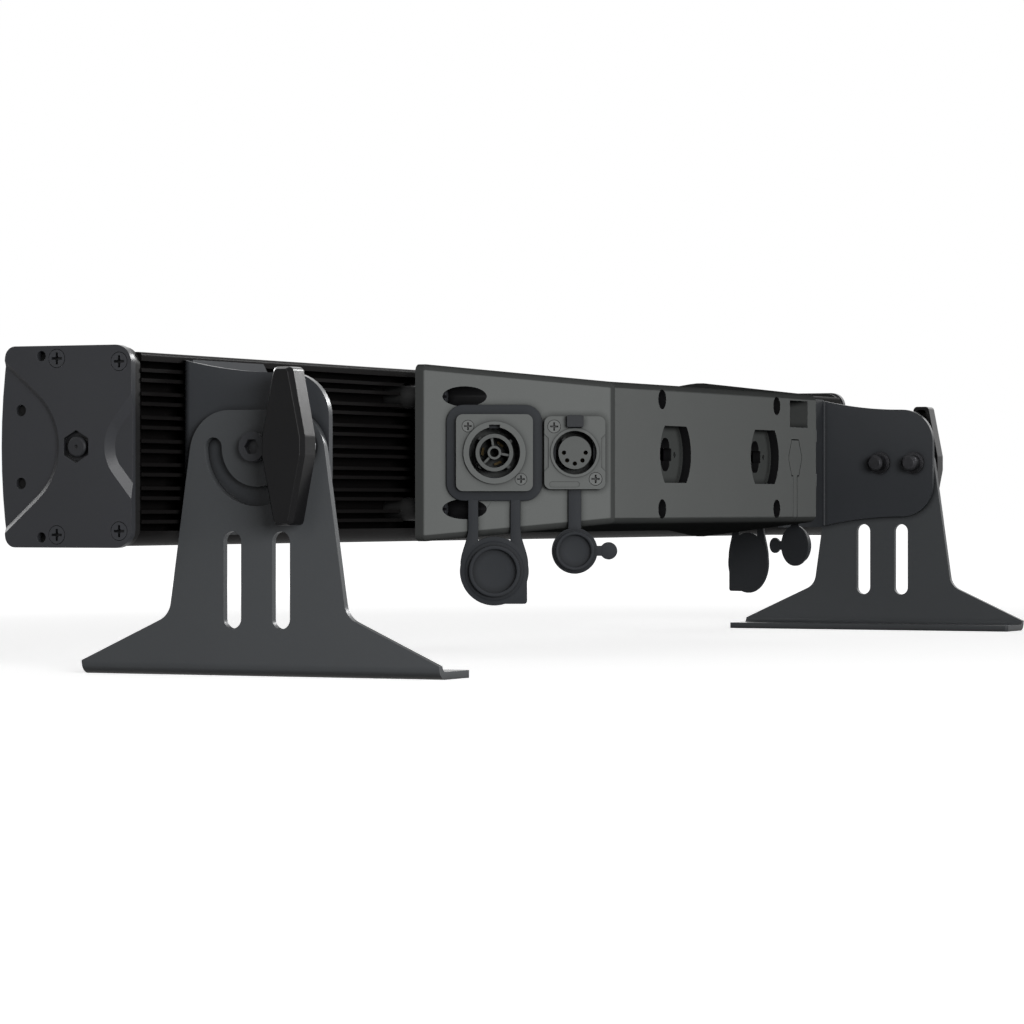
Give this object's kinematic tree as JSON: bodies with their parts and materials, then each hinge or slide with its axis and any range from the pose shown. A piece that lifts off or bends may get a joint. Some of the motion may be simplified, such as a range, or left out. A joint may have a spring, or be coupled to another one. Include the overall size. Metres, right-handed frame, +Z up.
{
  "type": "outdoor wall washer light",
  "caption": "Linear outdoor wall washer: finned bar light tilting between two slotted feet, with wing knobs, a rear connector housing, capped sockets and quick-lock receptacles.",
  "frame": {"origin": "on the floor, in the middle of the object's outline", "axes": "+X along the bar, +Y towards the light side, +Z up"},
  "size_m": [0.764, 0.1712, 0.1266],
  "materials": {
    "black_anodised": "matt anodised",
    "black_casting": "satin powder coat",
    "cap_coat": "fine satin powder coat",
    "black_steel": "blackened steel",
    "vent_plastic": "moulded, matt",
    "window_glass": "clear tempered glass",
    "seal_rubber": "soft black rubber",
    "tray_plastic": "black moulded",
    "lens_plastic": "clear moulded lens",
    "board": "white solder mask",
    "led_dome": "phosphor dome",
    "housing_coat": "fine satin powder coat",
    "driver_case": "plain sheet",
    "receptacle_steel": "satin coat",
    "cap_rubber": "soft moulded rubber",
    "socket_plastic": "moulded, satin",
    "socket_metal": "satin coated die casting",
    "ear_coat": "fine satin powder coat",
    "foot_coat": "fine satin powder coat",
    "knob_plastic": "semi-gloss moulded",
    "washer_steel": "plain"
  },
  "bodies": {
    "bar": {"bar_body": "black_anodised", "end_frames": "black_casting", "end_cap_left": "cap_coat", "end_cap_right": "cap_coat", "cap_screws": "black_steel", "vent_plugs": "vent_plastic", "front_bezel": "black_casting", "front_glass": "window_glass", "glass_seal": "seal_rubber", "lens_tray": "tray_plastic", "lenses": "lens_plastic", "led_board": "board", "leds": "led_dome", "connector_housing": "housing_coat", "housing_seal": "seal_rubber", "housing_posts": "black_steel", "housing_screws": "black_steel", "driver": "driver_case", "lock_receptacles": "receptacle_steel", "service_plug": "cap_rubber", "power_in_socket": "socket_plastic", "power_out_socket": "socket_plastic", "power_in_insert": "socket_plastic", "power_out_insert": "socket_plastic", "data_in_socket": "socket_metal", "data_out_socket": "socket_metal", "data_in_insert": "socket_plastic", "data_out_insert": "socket_plastic", "socket_screws": "socket_metal", "power_in_gasket": "cap_rubber", "power_out_gasket": "cap_rubber", "data_in_gasket": "cap_rubber", "data_out_gasket": "cap_rubber", "ear_left": "ear_coat", "ear_right": "ear_coat", "ear_screws": "black_steel", "ear_nuts": "black_steel", "pivot_screws": "black_steel"},
    "foot_left": {"foot_left": "foot_coat"},
    "foot_right": {"foot_right": "foot_coat"},
    "knob_left": {"knob_left": "knob_plastic", "knob_stud_left": "black_steel", "knob_washer_left": "washer_steel"},
    "knob_right": {"knob_right": "knob_plastic", "knob_stud_right": "black_steel", "knob_washer_right": "washer_steel"},
    "power_in_cap": {"power_in_cap": "cap_rubber"},
    "power_out_cap": {"power_out_cap": "cap_rubber"},
    "data_in_cap": {"data_in_cap": "cap_rubber"},
    "data_out_cap": {"data_out_cap": "cap_rubber"},
    "data_latch": {"data_latch": "socket_plastic"}
  },
  "joints": [
    {"name": "foot_left_tilt", "type": "hinge", "parent": "bar", "child": "foot_left", "pos_m": [-0.3458, -0.0078, 0.088], "axis": [1, 0, 0], "range_deg": [-180, 0]},
    {"name": "knob_left_turn", "type": "hinge", "parent": "bar", "child": "knob_left", "pos_m": [-0.3555, -0.0268, 0.088], "axis": [-1, 0, 0], "range_deg": [0, 360]},
    {"name": "foot_right_tilt", "type": "hinge", "parent": "bar", "child": "foot_right", "pos_m": [0.3458, -0.0078, 0.088], "axis": [1, 0, 0], "range_deg": [-180, 0]},
    {"name": "knob_right_turn", "type": "hinge", "parent": "bar", "child": "knob_right", "pos_m": [0.3555, -0.0268, 0.088], "axis": [1, 0, 0], "range_deg": [0, 360]},
    {"name": "power_in_cap_fold", "type": "hinge", "parent": "bar", "child": "power_in_cap", "pos_m": [-0.14687, -0.01323, 0.0628], "axis": [-0.4555, 0.8902, 0], "range_deg": [0, 180]},
    {"name": "power_out_cap_fold", "type": "hinge", "parent": "bar", "child": "power_out_cap", "pos_m": [0.14687, -0.01323, 0.0628], "axis": [-0.4555, -0.8902, 0], "range_deg": [0, 180]},
    {"name": "data_in_cap_fold", "type": "hinge", "parent": "bar", "child": "data_in_cap", "pos_m": [-0.13056, -0.04336, 0.0671], "axis": [-0.4555, 0.8902, 0], "range_deg": [0, 180]},
    {"name": "data_out_cap_fold", "type": "hinge", "parent": "bar", "child": "data_out_cap", "pos_m": [0.13056, -0.04336, 0.0671], "axis": [-0.4555, -0.8902, 0], "range_deg": [0, 180]},
    {"name": "data_latch_push", "type": "slide", "parent": "bar", "child": "data_latch", "axis": [0.8902, 0.4555, 0], "range_m": [0, 0.001], "stiffness_N_per_m": 400, "springref_m": -0.0005}
  ]
}
